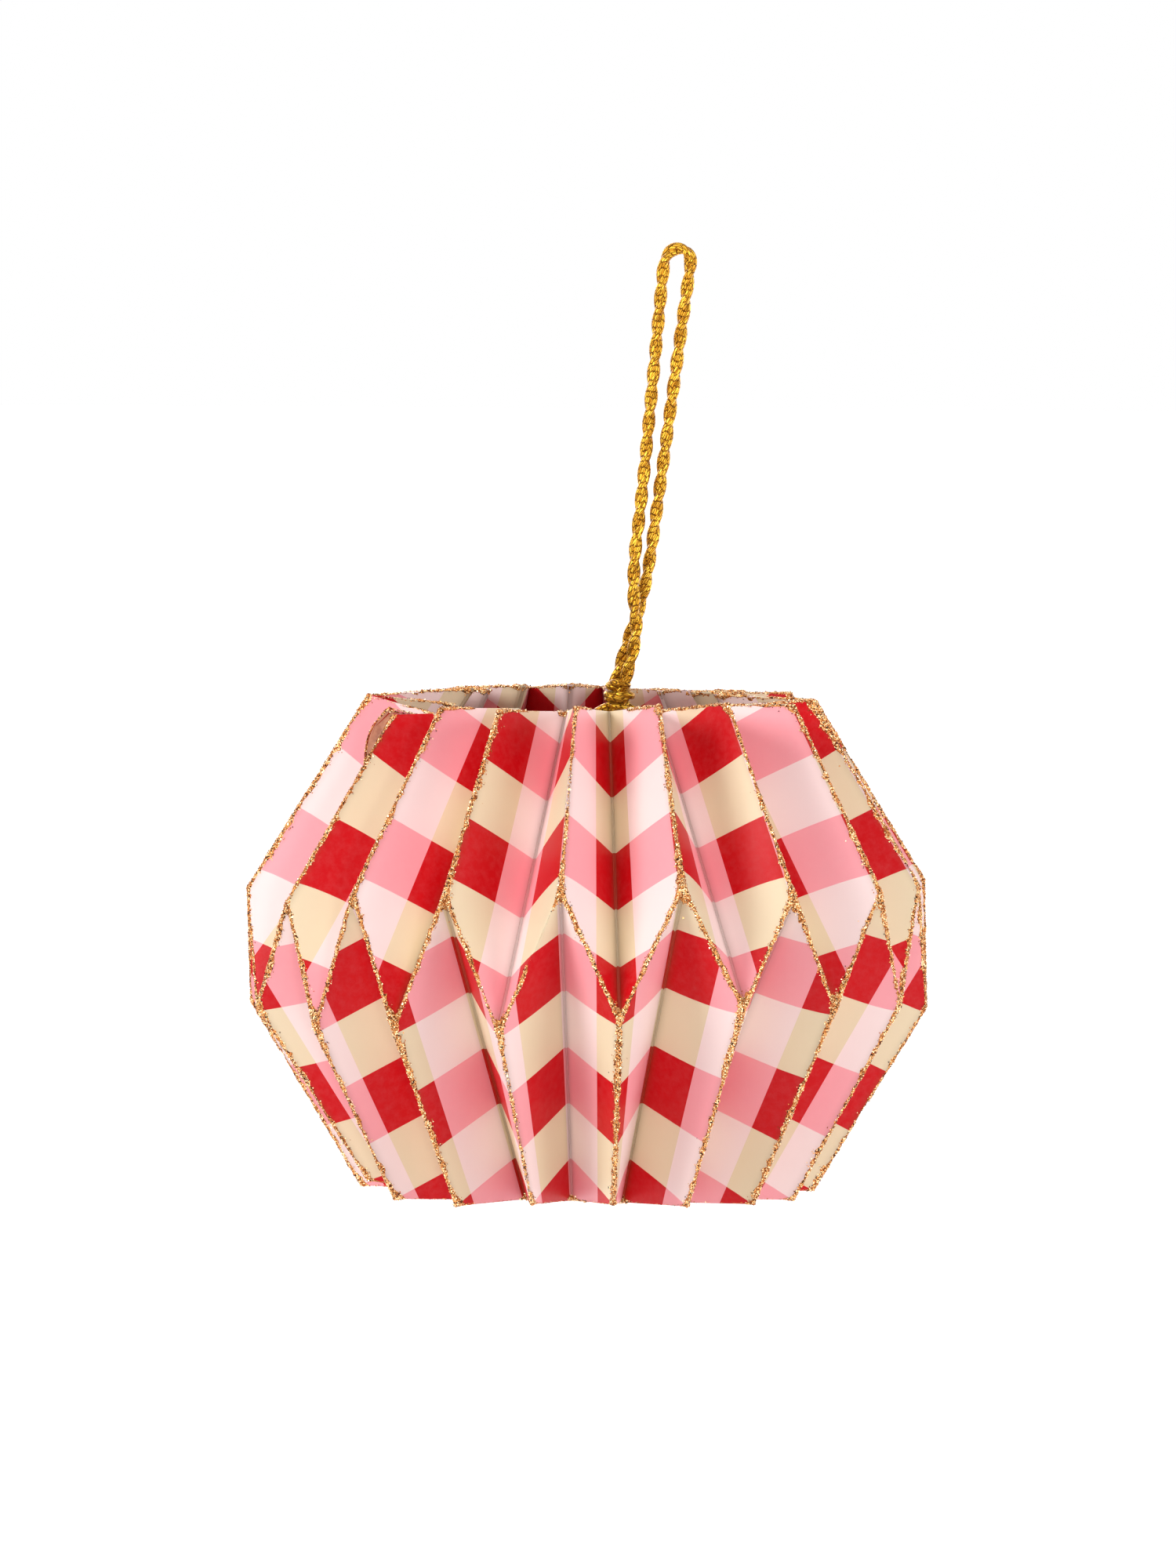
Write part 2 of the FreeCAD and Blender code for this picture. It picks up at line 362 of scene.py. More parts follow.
@dataclass(frozen=True)
class GoldFoilCord:
    """Cord of gold foil yarns that run nearly along each ply, with shade painted between the yarns
    and highlights painted on them.

    A strand's UV map holds the share of the way round and metres along.
    """

    # Painted shade in the gaps between yarns.
    painted_shade: Colour = srgb(70, 38, 4)
    mid: Colour = srgb(190, 128, 22)
    # Painted highlight on the brightest yarn facets.
    painted_highlight: Colour = srgb(250, 200, 66)
    yarns: int = 12
    yarn_step: float = 0.95 * MM
    yarn_lean: float = 0.9

    def material(self) -> bpy.types.Material:
        """The cord's material."""
        tree = Surface("gold_foil_cord")
        place = tree.node("UVMap", {"uv_map": "strand"})
        apart = tree.node("SeparateXYZ", {}, {0: place.outputs[0]})
        round_it, along = tree.channel(apart, 0), tree.channel(apart, 1)
        leaning = round_it * self.yarns + along * (self.yarn_lean / self.yarn_step)
        stretched = tree.node("CombineXYZ", {}, {0: leaning, 1: along / self.yarn_step})
        spread = {"Vector": stretched.outputs[0], "Scale": 1.0, "Randomness": 0.75}
        cells, edges = (
            tree.node("TexVoronoi", {"voronoi_dimensions": "2D", "feature": kind}, spread)
            for kind in ("F1", "DISTANCE_TO_EDGE"))
        chance = tree.node("SeparateColor", {}, {0: cells.outputs["Color"]})
        # Painted shade at the cell edges between yarns, and a random level per yarn standing for
        # how it catches the light, up to a painted highlight.
        inside = (tree.channel(edges, 0) * 6.0).held()
        lit = tree.channel(chance, 0) * 0.55 + 0.45
        ramp = tree.node("ValToRGB", {
            "stops": [(0.0, self.painted_shade), (0.55, self.mid), (1.0, self.painted_highlight)]}, {0: inside * lit})
        relief = tree.relief(0.8, 0.12 * MM, inside + tree.channel(chance, 1) * 0.4)
        return tree.finish(Base_Color=ramp.outputs[0], Metallic=0.8, Normal=relief,
                           Roughness=tree.channel(chance, 2) * 0.15 + 0.26)


def pick(*objects: Piece) -> None:
    """Select these objects alone, the first of them active."""
    bpy.ops.object.select_all(action="DESELECT")
    for item in objects:
        item.select_set(True)
    bpy.context.view_layer.objects.active = objects[0]


def change(kind: str, name: str, **settings: object) -> None:
    """Add a modifier with its settings to the active object and apply it."""
    modifier = bpy.context.view_layer.objects.active.modifiers.new(name, kind)
    for key, value in settings.items():
        setattr(modifier, key, value)
    bpy.ops.object.modifier_apply(modifier=modifier.name)


def unit(vectors: Array, least: float = 0.0) -> Array:
    """Vectors scaled to length 1, except those shorter than the least length."""
    return vectors / np.maximum(np.linalg.norm(vectors, axis=-1, keepdims=True), least)


def start_grid(name: str, along: int, across: int) -> Piece:
    """Add a flat grid primitive with this many faces each way, to be shaped."""
    bpy.ops.object.select_all(action="DESELECT")
    bpy.ops.mesh.primitive_grid_add(x_subdivisions=along, y_subdivisions=across, size=1.0)
    grid = bpy.context.object
    grid.name = grid.data.name = name
    return grid


def shape_grid(grid: Piece, places: Array, chart: Array,
               chart_name: str) -> None:
    """Move a grid's vertices to their places and write its UV map.

    Args:
        grid: a grid primitive's object.
        places: a point for each vertex, by its number along and across.
        chart: UV coordinates, in the same order.
        chart_name: the UV map's name.
    """
    mesh = grid.data
    count_along, count_across = places.shape[:2]
    flat = np.empty(len(mesh.vertices) * 3)
    mesh.vertices.foreach_get("co", flat)
    flat = flat.reshape(-1, 3)
    along = np.rint((flat[:, 0] + 0.5) * (count_along - 1)).astype(int)
    across = np.rint((flat[:, 1] + 0.5) * (count_across - 1)).astype(int)
    mesh.vertices.foreach_set("co", places[along, across].ravel())
    corners = np.empty(len(mesh.loops), dtype=int)
    mesh.loops.foreach_get("vertex_index", corners)
    layer = mesh.uv_layers[0]
    layer.name = chart_name
    layer.data.foreach_set("uv", chart[along, across][corners].ravel())
    mesh.update()


def pinched(rings: Array) -> Array:
    """Rings of points with one more at each end, drawn in to its middle, to close a tube."""
    first, last = (np.broadcast_to(ring.mean(axis=0), ring.shape) for ring in (rings[0], rings[-1]))
    return np.concatenate((first[None], rings, last[None]))


def weld(piece: Piece) -> None:
    """Weld a piece's doubled points and face a closed piece outwards."""
    pick(piece)
    bpy.ops.object.mode_set(mode="EDIT")
    bpy.ops.mesh.select_all(action="SELECT")
    bpy.ops.mesh.remove_doubles(threshold=1e-7)
    bpy.ops.mesh.normals_make_consistent(inside=False)
    bpy.ops.object.mode_set(mode="OBJECT")


def joined(name: str, parts: list[Piece]) -> Piece:
    """One object from several."""
    pick(*parts)
    if len(parts) > 1:
        bpy.ops.object.join()
    parts[0].name = parts[0].data.name = name
    return parts[0]


def dress(piece: Piece, *materials: bpy.types.Material,
          smooth: float | None = 40.0) -> None:
    """Give a piece its materials and its shading.

    Args:
        piece: the object.
        materials: its materials, by slot.
        smooth: the angle in degrees below which faces shade as one, or None for flat faces.
    """
    piece.data.materials.clear()
    for material in materials:
        piece.data.materials.append(material)
    pick(piece)
    if smooth is None:
        bpy.ops.object.shade_flat()
    else:
        bpy.ops.object.shade_smooth_by_angle(angle=math.radians(smooth))


def wander(rng: np.random.Generator, count: int, step: int) -> Array:
    """Smooth random values between 0 and 1 along a line, turning about every few samples."""
    knots = rng.random(count // step + 3)
    at = np.arange(count) / step
    low = at.astype(int)
    ease = at - low
    ease = ease * ease * (3 - 2 * ease)
    return knots[low] * (1 - ease) + knots[low + 1] * ease


@dataclass
class PleatedSheet:
    """The folded sheet: its corners, its surface and its mesh. Sizes are in metres."""

    pleats: int = 18
    first_ridge: float = -3.8
    shoulder_radius: float = 50.0 * MM
    shoulder_rise: float = 9.25 * MM
    rim_height: float = 36.2 * MM
    rim_ridge_radius: float = 33.8 * MM
    rim_valley_radius: float = 19.5 * MM
    upper_valley_height: float = 35.0 * MM
    lower_valley_height: float = 36.8 * MM
    upper_lean: float = 3.0
    lower_lean: float = -2.0
    thickness: float = 0.4 * MM
    face_length: float = 43.0 * MM
    middle_width: float = 20.5 * MM
    width_lost: float = 5.0 * MM
    bow_size: float = 0.3 * MM
    unevenness: float = 0.35 * MM
    fold_share: float = 0.055
    zigzag_share: float = 0.02
    score_depth: float = 0.07 * MM
    score_offset: float = 0.36 * MM
    score_width: float = 0.3 * MM
    corner_trim: float = 2.3 * MM
    print_top: tuple = (31.4 * MM, 39.5 * MM)
    print_middle: tuple = (0.0, -17.1 * MM)
    print_foot: tuple = (-56.6 * MM, -48.4 * MM)
    hole_setback: float = 5.5 * MM
    hole_radius: float = 1.15 * MM
    seam_line: int = -6
    seam_length: float = 0.27
    glue_thickness: float = 0.3 * MM
    seed: int = 7
    lines: Array = field(init=False)
    bow: Array = field(init=False)

    # How far hand folding moved a corner: millimetres to the right and up, by half pleats
    # round from the ridge nearest the front.
    rim_drift: dict = field(default_factory=lambda: {
        -8: (0.7, 0.4), -6: (1.3, -2.2), -4: (1.5, -0.8), -2: (0.3, -0.9), 0: (0.2, -0.2),
        2: (0.7, 0.1), 4: (0.3, 0.2), 6: (2.0, -0.3), 8: (0.2, 0.1), 10: (0.2, -0.5),
        -7: (0.0, -2.3), -5: (0.0, -0.6),
        -1: (0.4, -0.2), 1: (-0.3, -0.2), 11: (0.0, 1.6), 13: (0.0, 1.6), 15: (0.3, 1.7),
        17: (0.0, 1.9), 19: (0.2, 2.4), 21: (-0.3, 2.3), 23: (0.0, 2.0), 25: (1.2, 2.3)})
    zigzag_drift: dict = field(default_factory=lambda: {
        -8: (-0.5, -0.8), -7: (-0.5, 0.4), -6: (0.9, -2.0), -5: (0.7, -1.8), -4: (0.5, -0.1),
        -3: (-0.2, -1.0), -2: (-0.5, 0.5), -1: (-0.9, -1.0), 0: (-0.7, 1.3), 1: (-0.9, 0.9),
        2: (-0.5, 1.9), 3: (0.3, 2.4), 4: (0.0, 0.4), 5: (-0.4, 1.7), 6: (0.8, 0.3),
        7: (-0.2, 1.3)})
    foot_drift: dict = field(default_factory=lambda: {
        -7: (0.0, 1.8), -5: (-1.1, -0.1), -3: (-0.4, -0.4), -1: (0.0, 0.3), 1: (0.3, 0.4),
        3: (-0.2, -0.1), 5: (0.1, -0.3), 7: (-0.4, -0.5), 0: (-0.2, 0.4), 2: (0.2, 0.1)})

    def __post_init__(self) -> None:
        """Work out the fold lines' points and how far each panel bows."""
        rng = np.random.default_rng(self.seed)
        count = 2 * self.pleats
        self.lines = np.zeros((3, count, 3))
        ridge, valley = self.rim_ridge_radius, self.rim_valley_radius
        for j in range(count):
            if j % 2 == 0:
                corners = ((ridge, 0.0, self.rim_height),
                           (self.shoulder_radius, 0.0, self.shoulder_rise),
                           (valley, self.lower_lean, -self.lower_valley_height))
            else:
                corners = ((valley, self.upper_lean, self.upper_valley_height),
                           (self.shoulder_radius, 0.0, -self.shoulder_rise),
                           (ridge, 0.0, -self.rim_height))
            self.lines[:, j] = [self.at(j, *corner) for corner in corners]
        for row, drift in enumerate((self.rim_drift, self.zigzag_drift, self.foot_drift)):
            shift = rng.uniform(-1, 1, (count, 3)) * self.unevenness
            shift[self.punched_lines()] = 0.0
            for j, (right, up) in drift.items():
                shift[j] = (right * MM, 0.0, up * MM)
            self.lines[row] += shift
        self.bow = rng.uniform(-1, 1, (2, count)) * self.bow_size

    def at(self, line: int, radius: float, lean: float, height: float) -> tuple:
        """Point on a circle round the axis, at a fold line's angle plus a lean in degrees."""
        turn = math.radians(self.first_ridge + line * 180.0 / self.pleats + lean)
        return radius * math.sin(turn), -radius * math.cos(turn), height

    def punched_lines(self) -> list[int]:
        """Numbers of the two inner folds that the cord's tails go through: right, then left."""
        first = 2 * round(self.pleats / 4 - 0.5) + 1
        return [first, (first + self.pleats) % (2 * self.pleats)]

    def row_points(self, row: int, across: Array) -> Array:
        """Points on a rim or on the zigzag fold, straight between the fold lines."""
        low = np.floor(across).astype(int)
        share = (across - low)[..., None]
        ring = self.lines[row]
        count = len(ring)
        return ring[low % count] * (1 - share) + ring[(low + 1) % count] * share

    def sharp(self, across: Array, down: Array) -> Array:
        """Surface with sharp folds; down runs 0 at the top rim, 1 at the zigzag, 2 at the foot."""
        upper = np.clip(down, -0.2, 1)[..., None]
        lower = np.clip(down - 1, 0, 1.2)[..., None]
        top, middle, foot = (self.row_points(row, across) for row in range(3))
        return top * (1 - upper) + middle * (upper - lower) + foot * lower

    def surface(self, across: Array, down: Array) -> Array:
        """Outer surface of the sheet, with rounded folds and slightly bowed panels.

        Args:
            across: places round the sheet, counted in panels from the front ridge.
            down: places down the sheet, 0 at the top rim, 1 at the zigzag fold, 2 at the foot.

        Returns:
            A point for each pair.
        """
        across, down = np.broadcast_arrays(np.asarray(across, float), np.asarray(down, float))
        points = self.sharp(across, down)

        fold = np.rint(across)
        apex = self.sharp(fold, down)
        sides = [self.sharp(fold + side, down) - apex for side in (-1.0, 1.0)]
        points = points + self.rounding(sides, np.abs(across - fold) / self.fold_share,
                                        self.fold_share * self.half_width(down))
        apex = self.sharp(across, np.ones_like(down))
        sides = [self.sharp(across, np.full_like(down, end)) - apex for end in (0.0, 2.0)]
        points = points + self.rounding(sides, np.abs(down - 1) / self.zigzag_share,
                                        self.zigzag_share * self.face_length)

        low = np.floor(across).astype(int) % (2 * self.pleats)
        part = np.clip(np.floor(down).astype(int), 0, 1)
        swell = self.bow[part, low] * np.sin(math.pi * (across % 1.0))
        swell = swell * np.sin(math.pi * (down % 1.0))
        radial = unit(points * np.array((1.0, 1.0, 0.0)))
        points = points + radial * swell[..., None] + self.seam_step(across, down)
        return points - radial * self.scores(across, down)[..., None]

    def scores(self, across: Array, down: Array) -> Array:
        """Depth of the two lines that a scoring tool pressed beside each inner fold."""
        fold = np.rint(across)
        from_fold = np.abs(across - fold) * self.half_width(down)
        odd = fold.astype(int) % 2 == 1
        inner = (odd & (down < 1)) | (~odd & (down > 1))
        punched = np.isin(fold % (2 * self.pleats), self.punched_lines())
        press = np.clip(1 - np.abs(from_fold - self.score_offset) / self.score_width, 0, 1)
        return np.where(inner & ~punched, press * self.score_depth, 0.0)

    def half_width(self, down: Array) -> Array:
        """About a panel's width at a height."""
        return self.middle_width - self.width_lost * np.abs(down - 1)

    @staticmethod
    def rounding(sides: list[Array], share: Array, reach: object) -> Array:
        """Step that eases a sharp fold into a round one.

        Args:
            sides: vectors from the fold along its two sides.
            share: distance from the fold as a share of the rounding's reach.
            reach: the rounding's reach.

        Returns:
            A step for each point, none beyond the reach.
        """
        first, second = (unit(side) for side in sides)
        inward = first + second
        length = np.maximum(np.linalg.norm(inward, axis=-1, keepdims=True), 1e-6)
        slope = np.sum(first * inward, axis=-1, keepdims=True) / length
        ease = np.clip(1 - share, 0, 1) ** 2
        return inward / length * slope * (ease * reach / 2)[..., None]

    def seam_step(self, across: Array, down: Array) -> Array:
        """Step that opens the glued seam at the top rim, on the side left of its ridge."""
        count = 2 * self.pleats
        behind = (across - self.seam_line) / count
        left = np.clip(1 - (count - (across - self.seam_line)) / 0.6, 0, 1) * (behind > 0.5)
        share = np.clip(down / self.seam_length, 0, 1)[..., None]
        corner = np.array((-0.3, 0.0, 1.05)) * MM * (1 - share) ** 1.5
        gape = np.array((-1.5, 0.5, 0.2)) * MM * np.sin(math.pi * share ** 0.8)
        return left[..., None] * (corner + gape)

    def seam_glue(self) -> Piece:
        """Web of dried glue between the two edges of the open seam."""
        along = np.linspace(0.01, self.seam_length, 13)
        across, down = np.meshgrid(np.linspace(0, 1, 5), along, indexing="ij")
        left = self.surface(np.full_like(down, self.seam_line + 2.0 * self.pleats), down)
        right = self.surface(np.full_like(down, self.seam_line + 0.01), down)
        web = left * (1 - across[..., None]) + right * across[..., None]
        inward = unit(-web * np.array((1.0, 1.0, 0.0)))
        web = web + inward * (0.3 + 0.25 * np.sin(math.pi * across))[..., None] * MM
        glue = start_grid("seam_glue", 4, 12)
        shape_grid(glue, web, np.stack((across, down), axis=-1), "flat")
        change("SOLIDIFY", "glue thickness", thickness=self.glue_thickness)
        return glue

    def normal(self, across: Array, down: Array) -> Array:
        """Outward unit normals of the surface."""
        beside, below = 0.004, 0.003
        round_it = self.surface(across + beside, down) - self.surface(across - beside, down)
        along = self.surface(across, down + below) - self.surface(across, down - below)
        return unit(np.cross(along, round_it))

    def columns(self) -> Array:
        """Places of the mesh's columns, close together at the folds."""
        near = np.array((0.0, 0.13, 0.27, 0.4, 0.6, 0.8, 1.0)) * self.fold_share
        panel = np.concatenate((near, (0.15, 0.3, 0.45, 0.6, 0.75, 0.87), 1 - near[:0:-1]))
        places = [self.seam_line + j + panel for j in range(2 * self.pleats)]
        return np.concatenate((*places, [self.seam_line + 2.0 * self.pleats]))

    def rows(self) -> Array:
        """Places of the mesh's rows, from the top rim to the foot."""
        near = 1 - self.zigzag_share * np.array((1, 0.66, 0.33))
        upper = np.concatenate((np.linspace(0, 0.95, 12), near))
        return np.concatenate((upper, [1.0], 2 - upper[::-1]))

    def chart(self, across: Array, down: Array) -> Array:
        """Place on the flat printed sheet: panels across, metres up from the upper fold corners."""
        raised = np.abs((across % 2) - 1)
        top, middle, foot = (
            ridge * raised + valley * (1 - raised)
            for ridge, valley in (self.print_top, self.print_middle, self.print_foot))
        top = top - self.corner_trim * np.clip(1 - (across - self.seam_line), 0, 1)
        upper, lower = np.clip(down, 0, 1), np.clip(down - 1, 0, 1)
        up = top * (1 - upper) + middle * (upper - lower) + foot * lower
        return np.stack((across, up), axis=-1)

    def hole_axes(self) -> list[tuple[Vector, Vector]]:
        """Centre and way out of each punched hole, as the cord's tails run."""
        axes = []
        for line, side in zip(self.punched_lines(), (1.0, -1.0)):
            rim, dip = (Vector(self.lines[row, line]) for row in (0, 1))
            centre = rim + (dip - rim).normalized() * self.hole_setback
            axes.append((centre, (centre - CordLine.tail_bend(side)).normalized()))
        return axes

    def build(self) -> Piece:
        """Fold the flat grid into the ball and give the card its thickness and holes."""
        columns, rows = self.columns(), self.rows()
        across, down = np.meshgrid(columns, rows, indexing="ij")
        sheet = start_grid("pleated_sheet", len(columns) - 1, len(rows) - 1)
        shape_grid(sheet, self.surface(across, down), self.chart(across, down), "sheet")
        bpy.ops.object.mode_set(mode="EDIT")
        bpy.ops.mesh.select_all(action="SELECT")
        bpy.ops.mesh.remove_doubles(threshold=1e-7)
        bpy.ops.mesh.flip_normals()
        bpy.ops.object.mode_set(mode="OBJECT")
        sheet.data.materials.append(None)
        sheet.data.materials.append(None)
        change("SOLIDIFY", "card thickness", thickness=self.thickness, offset=-1.0,
               use_even_offset=True, material_offset_rim=1)
        for centre, way_out in self.hole_axes():
            self.punch(sheet, centre, way_out)
        return sheet

    def punch(self, sheet: Piece, centre: Vector, way_out: Vector) -> None:
        """Punch one round hole through an inner fold."""
        bpy.ops.object.select_all(action="DESELECT")
        turn = way_out.to_track_quat("Z", "Y").to_euler()
        bpy.ops.mesh.primitive_cylinder_add(vertices=32, radius=self.hole_radius, depth=9 * MM,
                                            location=centre, rotation=turn)
        punch = bpy.context.object
        pick(sheet)
        change("BOOLEAN", "punched hole", object=punch, operation="DIFFERENCE", solver="EXACT")
        bpy.data.objects.remove(punch, do_unlink=True)


class Trim(Enum):
    """Where glitter runs: a line's length, how far it spreads and how much is usual there."""

    UPPER_RIDGE = ("upper ridge", 31.4 * MM, 1.45, 1.0)
    LOWER_RIDGE = ("lower ridge", 31.4 * MM, 1.45, 1.0)
    ZIGZAG = ("zigzag", 20.4 * MM, 1.2, 1.0)
    TOP_RIM = ("top rim", 15.4 * MM, 0.4, 0.55)
    FOOT_RIM = ("foot rim", 15.4 * MM, 0.4, 0.3)
    SEAM = ("edge of the open seam", 9.0 * MM, 0.4, 0.3)

    def __init__(self, _words: str, length: float, spread: float, usual: float) -> None:
        """Keep the kind's facts by name; its words only tell it from the others."""
        self.length, self.spread, self.usual = length, spread, usual


@dataclass
class GlitterLines:
    """Glitter in glue on every raised fold, on both rims and at the open seam."""

    sheet: PleatedSheet
    bead_share: float = 0.85
    height: float = 0.2 * MM
    step: float = 0.42 * MM
    flakes_per_metre: float = 26000.0
    fullest: float = 1.4
    flake_size: float = 0.22 * MM
    flake_reach: float = 0.62
    flake_depth: float = 0.3
    flake_rise: float = 0.06 * MM
    stray_share: float = 0.02
    stray_reach: float = 1.2
    rim_wrap: float = 0.15 * MM
    rim_crest: float = 0.3 * MM
    corner_reach: float = 0.55 * MM
    corner_span: float = 1.8 * MM
    bead_sink: float = 0.25 * MM
    seed: int = 11
    heights: tuple = (-0.12, 0.55, 0.9, 1.0, 0.9, 0.55, -0.12)
    shares: tuple = (-1.0, -0.66, -0.3, 0.0, 0.3, 0.66, 1.0)

    # Stretches that the photograph shows bare, thin or heavy, by kind: the line, from where
    # to where along it, and how much of the usual glitter lies there.
    stretches: dict = field(default_factory=lambda: {
        Trim.TOP_RIM: ((-6, 0.0, 1.0, 0.0), (-5, 0.0, 0.8, 0.0), (-4, 0.0, 0.4, 1.3),
            (-4, 0.5, 1.0, 0.0), (-3, 0.0, 0.5, 0.0), (-3, 0.7, 1.0, 1.5), (-2, 0.0, 0.35, 1.3),
            (-2, 0.5, 0.85, 0.1), (-2, 0.9, 1.0, 1.6), (-1, 0.1, 0.8, 0.0), (0, 0.0, 0.5, 1.0),
            (0, 0.55, 1.0, 0.0), (1, 0.0, 0.35, 0.0), (1, 0.4, 0.75, 2.0), (2, 0.2, 1.0, 0.15),
            (3, 0.3, 1.0, 1.4), (4, 0.15, 1.0, 0.1), (5, 0.0, 0.5, 0.1), (5, 0.7, 1.0, 1.5)),
        Trim.UPPER_RIDGE: ((0, 0.05, 0.3, 0.75), (0, 0.3, 0.8, 0.4), (-2, 0.0, 1.0, 1.15),
            (-4, 0.0, 1.0, 1.2), (6, 0.5, 1.0, 1.25), (-6, 0.4, 1.0, 0.7), (4, 0.2, 0.9, 0.75),
            (2, 0.8, 1.0, 1.4)),
        Trim.ZIGZAG: ((-1, 0.42, 0.85, 0.0), (-1, 0.34, 0.42, 1.6)),
        Trim.LOWER_RIDGE: ((1, 0.0, 1.0, 1.35), (1, 0.85, 1.0, 1.5), (-1, 0.1, 0.9, 0.6),
            (-3, 0.0, 1.0, 1.2))})

    def lines(self) -> list[tuple[Trim, int]]:
        """Every line, by its kind and its fold line or panel."""
        first, count = self.sheet.seam_line, 2 * self.sheet.pleats
        found = []
        for j in range(first, first + count):
            found.append((Trim.LOWER_RIDGE if j % 2 else Trim.UPPER_RIDGE, j))
            found += [(trim, j) for trim in (Trim.ZIGZAG, Trim.TOP_RIM, Trim.FOOT_RIM)]
        return [*found, (Trim.SEAM, first + count)]

    def places(self, trim: Trim, line: int, share: Array, aside: Array) -> tuple:
        """Points on the card and their normals beside a line of glitter.

        Args:
            trim: the line's kind.
            line: its fold line, or the panel that it crosses.
            share: places along it, from 0 to 1.
            aside: distances to one side or the other, in metres.

        Returns:
            The points and the unit normals.
        """
        if trim in (Trim.UPPER_RIDGE, Trim.LOWER_RIDGE):
            down = share + (0.0 if trim is Trim.UPPER_RIDGE else 1.0)
            return self.on_card(line + aside / self.sheet.half_width(down), down)
        if trim is Trim.SEAM:
            down = share * self.sheet.seam_length * 1.1
            return self.on_card(line - np.abs(aside) / self.sheet.half_width(down), down)
        across = line + share
        if trim is Trim.ZIGZAG:
            return self.on_card(across, 1.0 + aside / self.sheet.face_length)
        rim, inward = (0.0, 1.0) if trim is Trim.TOP_RIM else (2.0, -1.0)
        depth = inward * np.abs(aside) / self.sheet.face_length
        points, normals = self.on_card(across, rim + depth)
        inside = np.clip(0.5 - aside / self.rim_wrap, 0, 1)[..., None]
        upwards = np.array((0.0, 0.0, inward))
        over = np.clip(1 - np.abs(aside) / self.rim_crest, 0, 1)[..., None]
        facing = normals * (1 - 2 * inside) * (1 - over) + upwards * over
        return points - normals * self.sheet.thickness * inside, unit(facing, 1e-6)

    def on_card(self, across: Array, down: Array) -> tuple[Array, Array]:
        """Points of the card's face and the normals there."""
        return self.sheet.surface(across, down), self.sheet.normal(across, down)

    def amount(self, trim: Trim, line: int, share: Array) -> Array:
        """How much glitter lies along a line, where 1 is usual."""
        ends = np.exp(-(np.minimum(share, 1 - share) / 0.07) ** 2)
        amount = np.full_like(share, trim.usual) + (1.3 - trim.usual) * ends
        for number, start, end, level in self.stretches.get(trim, ()):
            if number == line:
                inside = np.clip(np.minimum(share - start, end - share) / 0.06 + 1, 0, 1)
                amount = amount * (1 - inside) + level * inside
        return amount

    def clumps(self, rng: np.random.Generator, trim: Trim, line: int, count: int) -> tuple:
        """How far the glitter reaches to each side, how high it stands and how much there is."""
        lumps = wander(rng, count, 2)
        body = wander(rng, count, 11)
        reach = (0.45 + 0.55 * body + 0.45 * (lumps - 0.4)) * MM
        ends = np.minimum(np.arange(count), np.arange(count)[::-1]) * self.step
        reach = reach * trim.spread
        reach = reach + self.corner_reach * np.exp(-(ends / self.corner_span) ** 2)
        amount = self.amount(trim, line, np.linspace(0, 1, count))
        reach = reach * np.sqrt(amount)
        left, right = (reach * (0.6 + 0.6 * wander(rng, count, 2) + 0.2 * rng.random(count))
                       for _ in range(2))
        tall = np.where(amount * (0.3 + body) < 0.36, -0.6, 0.45 + 0.75 * lumps)
        return left, right, tall, amount

    def bead(self, rng: np.random.Generator, trim: Trim, line: int) -> tuple:
        """The bead along one line, with the facts that its flakes follow."""
        count = int(trim.length / self.step) + 1
        left, right, tall, amount = self.clumps(rng, trim, line, count)
        share = np.linspace(0, 1, count)[:, None]
        shares = np.array(self.shares)[None, :]
        side = np.where(shares < 0, left[:, None], right[:, None])
        aside = shares * side * self.bead_share
        aside = aside + rng.uniform(-0.04, 0.04, aside.shape) * MM
        points, normals = self.places(trim, line, share + 0 * aside, aside)
        lift = np.array(self.heights)[None, :] * tall[:, None] * self.height
        lift = lift + rng.uniform(-0.03, 0.05, lift.shape) * MM
        points = points + normals * lift[..., None]
        middle = points[:, 3] - normals[:, 3] * (self.height * 1.5 + self.bead_sink)
        ring = pinched(np.concatenate((points, middle[:, None]), axis=1))
        ring = np.concatenate((ring, ring[:, :1]), axis=1)
        return ring, (left, right, tall, amount)

    def build(self) -> list[Piece]:
        """Make the beads, then the loose flakes above and below the middle."""
        rng = np.random.default_rng(self.seed)
        beads, flake_sets = [], []
        for trim, line in self.lines():
            ring, clumps = self.bead(rng, trim, line)
            bead = start_grid("glitter_bead", ring.shape[0] - 1, ring.shape[1] - 1)
            shape_grid(bead, ring, ring[..., :2], "flat")
            beads.append(bead)
            flake_sets.append(self.scatter(rng, trim, line, clumps))
        piece = joined("glitter_beads", beads)
        weld(piece)
        points, normals = (np.concatenate(part) for part in zip(*flake_sets))
        high = points[:, 2] > 0
        return [piece, self.flakes(rng, "glitter_flakes_upper", points[high], normals[high]),
                self.flakes(rng, "glitter_flakes_lower", points[~high], normals[~high])]

    def scatter(self, rng: np.random.Generator, trim: Trim, line: int, clumps: tuple) -> tuple:
        """Places and normals of the loose flakes along one line."""
        left, right, tall, amount = clumps
        dense = 0.5 if trim in (Trim.TOP_RIM, Trim.FOOT_RIM) else 1.0
        count = int(trim.length * self.flakes_per_metre * dense * self.fullest)
        share = rng.random(count)
        near = np.rint(share * (len(left) - 1)).astype(int)
        kept = rng.random(count) < amount[near] / self.fullest
        share, near = share[kept], near[kept]
        count = len(share)
        side = rng.choice((-1.0, 1.0), count)
        spread = np.where(side < 0, left[near], right[near])
        offset = np.abs(rng.normal(0, 0.5, count))
        strays = rng.random(count) < self.stray_share
        offset = np.where(strays, offset + rng.random(count) * self.stray_reach,
                          np.minimum(offset, 1.05))
        points, normals = self.places(trim, line, share, side * offset * spread)
        crown = np.clip(1 - (offset / self.bead_share) ** 2, 0, 1) * np.clip(tall[near], 0, 2)
        return points + normals * (crown * self.height + self.flake_rise)[:, None], normals

